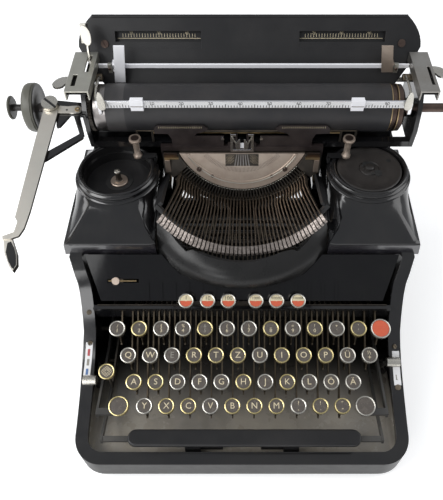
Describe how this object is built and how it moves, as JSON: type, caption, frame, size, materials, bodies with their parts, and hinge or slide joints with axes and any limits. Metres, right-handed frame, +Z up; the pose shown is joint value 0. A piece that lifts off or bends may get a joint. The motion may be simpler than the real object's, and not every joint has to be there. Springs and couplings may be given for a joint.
{
  "type": "manual typewriter",
  "caption": "Front-strike desk typewriter with open keyboard, ribbon cups, type basket and sliding carriage.",
  "frame": {"origin": "on the desk under the middle of the machine's box, midway between the carriage knobs", "axes": "+X to the typist's right, +Y away from the typist, +Z up"},
  "size_m": [0.423, 0.336, 0.256],
  "materials": {
    "enamel": "gloss",
    "pan_paint": "semi-gloss",
    "nickel": "polished",
    "chrome": "polished",
    "bronze": "brushed",
    "brass": "satin",
    "steel": "satin",
    "rubber": "matt",
    "bakelite": "satin",
    "key_face": "gloss"
  },
  "bodies": {
    "base": {"base_frame": "enamel", "floor_pan": "pan_paint", "front_left_foot": "rubber", "front_right_foot": "rubber", "rear_left_foot": "rubber", "rear_right_foot": "rubber", "rear_bridge": "enamel", "left_spool_housing": "enamel", "right_spool_housing": "enamel", "basket_shield": "enamel", "front_plate": "enamel", "key_comb": "enamel", "left_basket_guide": "brass", "right_basket_guide": "brass", "card_holders": "enamel", "left_ribbon_post": "bronze", "right_ribbon_post": "bronze"},
    "left_spindle": {"left_spool_spindle": "steel"},
    "right_spool": {"right_ribbon_spool": "rubber"},
    "drum": {"mainspring_drum": "steel"},
    "switch": {"ribbon_switch_knob": "nickel"},
    "basket": {"segment": "steel", "segment_cover": "bronze", "type_bars": "steel", "typebar_rest": "enamel"},
    "bar_g": {"typebar_g": "steel"},
    "bar_h": {"typebar_h": "steel"},
    "lift": {"ribbon_vibrator": "chrome"},
    "carriage": {"carriage_frame": "enamel", "paper_table": "enamel", "left_end_cover": "nickel", "right_end_cover": "nickel", "guide_bar": "chrome"},
    "roller": {"platen": "rubber", "left_knob": "bakelite", "right_knob": "bakelite"},
    "button": {"knob_button": "bakelite"},
    "return": {"return_lever": "nickel"},
    "bail": {"paper_bail": "chrome"},
    "bail_clip_l": {"left_bail_clip": "chrome"},
    "bail_clip_r": {"right_bail_clip": "chrome"},
    "guide_l": {"left_side_guide": "chrome"},
    "guide_r": {"right_side_guide": "nickel"},
    "paper_release": {"paper_release_lever": "nickel"},
    "release_l": {"left_release_lever": "nickel"},
    "release_r": {"right_release_lever": "nickel"},
    "selector": {"ribbon_selector_lever": "nickel"},
    "touch": {"touch_lever": "nickel"},
    "space": {"space_bar": "enamel"},
    "shift": {"shift_keys": "key_face"},
    "shift_lock": {"shift_lock_key": "key_face"},
    "backspace": {"backspace_key": "key_face"},
    "tabs": {"tab_keys": "key_face"},
    "row_1": {"number_row": "key_face"},
    "row_2": {"top_row": "key_face"},
    "row_3": {"home_row": "key_face"},
    "row_4": {"bottom_row": "key_face"},
    "g": {"key_g": "key_face"},
    "h": {"key_h": "key_face"}
  },
  "joints": [
    {"name": "left_spindle_spin", "type": "hinge", "parent": "base", "child": "left_spindle", "pos_m": [-0.1145, 0.063, 0.155], "axis": [0, 0, 1], "continuous": true},
    {"name": "right_spool_spin", "type": "hinge", "parent": "base", "child": "right_spool", "pos_m": [0.1166, 0.065, 0.155], "axis": [0, 0, 1], "continuous": true},
    {"name": "carriage_travel", "type": "slide", "parent": "base", "child": "carriage", "axis": [1, 0, 0], "range_m": [-0.118, 0.104]},
    {"name": "mainspring_turn", "type": "hinge", "parent": "base", "child": "drum", "pos_m": [-0.092, 0.158, 0.1], "axis": [0, 1, 0], "range_deg": [-230, 210]},
    {"name": "ribbon_switch_slide", "type": "slide", "parent": "base", "child": "switch", "axis": [1, 0, 0], "range_m": [-0.0045, 0.0165]},
    {"name": "ribbon_lift", "type": "slide", "parent": "base", "child": "lift", "axis": [0, 0, 1], "range_m": [0, 0.005], "stiffness_N_per_m": 200},
    {"name": "platen_turn", "type": "hinge", "parent": "carriage", "child": "roller", "pos_m": [0, 0.109, 0.196], "axis": [1, 0, 0], "continuous": true},
    {"name": "platen_button_push", "type": "slide", "parent": "roller", "child": "button", "axis": [1, 0, 0], "range_m": [0, 0.003], "stiffness_N_per_m": 300},
    {"name": "return_lever_swing", "type": "hinge", "parent": "carriage", "child": "return", "pos_m": [-0.1695, 0.0985, 0.205], "axis": [0, -0.2588, 0.9659], "range_deg": [0, 28], "stiffness_Nm_per_rad": 2},
    {"name": "paper_bail_lift", "type": "hinge", "parent": "carriage", "child": "bail", "pos_m": [0, 0.128, 0.214], "axis": [1, 0, 0], "range_deg": [-70, 0]},
    {"name": "left_bail_clip_slide", "type": "slide", "parent": "bail", "child": "bail_clip_l", "axis": [1, 0, 0], "range_m": [-0.024, 0.06]},
    {"name": "right_bail_clip_slide", "type": "slide", "parent": "bail", "child": "bail_clip_r", "axis": [1, 0, 0], "range_m": [-0.06, 0.03]},
    {"name": "left_guide_slide", "type": "slide", "parent": "carriage", "child": "guide_l", "axis": [1, 0, 0], "range_m": [-0.006, 0.09]},
    {"name": "right_guide_slide", "type": "slide", "parent": "carriage", "child": "guide_r", "axis": [1, 0, 0], "range_m": [-0.09, 0.006]},
    {"name": "paper_release_pull", "type": "hinge", "parent": "carriage", "child": "paper_release", "pos_m": [0, 0.146, 0.2], "axis": [1, 0, 0], "range_deg": [0, 9], "stiffness_Nm_per_rad": 3},
    {"name": "left_release_push", "type": "hinge", "parent": "carriage", "child": "release_l", "pos_m": [-0.146, 0.124, 0.214], "axis": [0, 0, 1], "range_deg": [-14, 0], "stiffness_Nm_per_rad": 1},
    {"name": "right_release_push", "type": "hinge", "parent": "carriage", "child": "release_r", "pos_m": [0.164, 0.14, 0.214], "axis": [0, 0, 1], "range_deg": [0, 14], "stiffness_Nm_per_rad": 1},
    {"name": "ribbon_selector_tilt", "type": "hinge", "parent": "base", "child": "selector", "pos_m": [-0.133, -0.085, 0.034], "axis": [1, 0, 0], "range_deg": [-10, 10]},
    {"name": "touch_lever_tilt", "type": "hinge", "parent": "base", "child": "touch", "pos_m": [0.133, -0.07, 0.034], "axis": [1, 0, 0], "range_deg": [-10, 10]},
    {"name": "space_bar_press", "type": "hinge", "parent": "base", "child": "space", "pos_m": [0, -0.06, 0.0265], "axis": [1, 0, 0], "range_deg": [0, 5.3], "stiffness_Nm_per_rad": 8},
    {"name": "shift_press", "type": "hinge", "parent": "base", "child": "shift", "pos_m": [0, 0.06, 0.052], "axis": [1, 0, 0], "range_deg": [0, 3.1], "stiffness_Nm_per_rad": 30},
    {"name": "shift_lock_press", "type": "hinge", "parent": "base", "child": "shift_lock", "pos_m": [-0.13, -0.04, 0.054], "axis": [1, 0, 0], "range_deg": [0, 5], "stiffness_Nm_per_rad": 2},
    {"name": "backspace_press", "type": "hinge", "parent": "base", "child": "backspace", "pos_m": [0.125, 0.07, 0.032], "axis": [1, 0, 0], "range_deg": [0, 4], "stiffness_Nm_per_rad": 8},
    {"name": "tab_press", "type": "slide", "parent": "base", "child": "tabs", "axis": [0, 0, -1], "range_m": [0, 0.004], "stiffness_N_per_m": 400},
    {"name": "number_row_press", "type": "hinge", "parent": "base", "child": "row_1", "pos_m": [0, 0.118, 0.032], "axis": [1, 0, 0], "range_deg": [0, 3.65], "stiffness_Nm_per_rad": 60},
    {"name": "top_row_press", "type": "hinge", "parent": "base", "child": "row_2", "pos_m": [0, 0.108, 0.032], "axis": [1, 0, 0], "range_deg": [0, 3.45], "stiffness_Nm_per_rad": 60},
    {"name": "home_row_press", "type": "hinge", "parent": "base", "child": "row_3", "pos_m": [0, 0.098, 0.032], "axis": [1, 0, 0], "range_deg": [0, 3.3], "stiffness_Nm_per_rad": 60},
    {"name": "bottom_row_press", "type": "hinge", "parent": "base", "child": "row_4", "pos_m": [0, 0.088, 0.032], "axis": [1, 0, 0], "range_deg": [0, 3.2], "stiffness_Nm_per_rad": 60},
    {"name": "key_g_press", "type": "hinge", "parent": "base", "child": "g", "pos_m": [-0.0178, 0.077, 0.032], "axis": [1, 0, 0], "range_deg": [0, 3.35], "stiffness_Nm_per_rad": 8},
    {"name": "key_h_press", "type": "hinge", "parent": "base", "child": "h", "pos_m": [0.00125, 0.077, 0.032], "axis": [-1, 0, 0], "range_deg": [-3.35, 0], "stiffness_Nm_per_rad": 8},
    {"name": "basket_shift", "type": "slide", "parent": "base", "child": "basket", "axis": [0, 0, -1], "range_m": [0, 0.0065]},
    {"name": "typebar_g_swing", "type": "hinge", "parent": "basket", "child": "bar_g", "pos_m": [-0.00154, 0.06201, 0.1246], "axis": [0.9998, -0.0069, -0.0191], "range_deg": [-98.49, 0]},
    {"name": "typebar_h_swing", "type": "hinge", "parent": "basket", "child": "bar_h", "pos_m": [0.00154, 0.06201, 0.1246], "axis": [0.9998, 0.0069, 0.0191], "range_deg": [-98.49, 0]}
  ],
  "couplings": [
    {"joint": "mainspring_turn", "follows": "carriage_travel", "rad_per_m": 33.3},
    {"joint": "basket_shift", "follows": "shift_press", "m_per_rad": 0.12012},
    {"joint": "typebar_g_swing", "follows": "key_g_press", "ratio": -29.4},
    {"joint": "typebar_h_swing", "follows": "key_h_press", "ratio": 29.4}
  ]
}
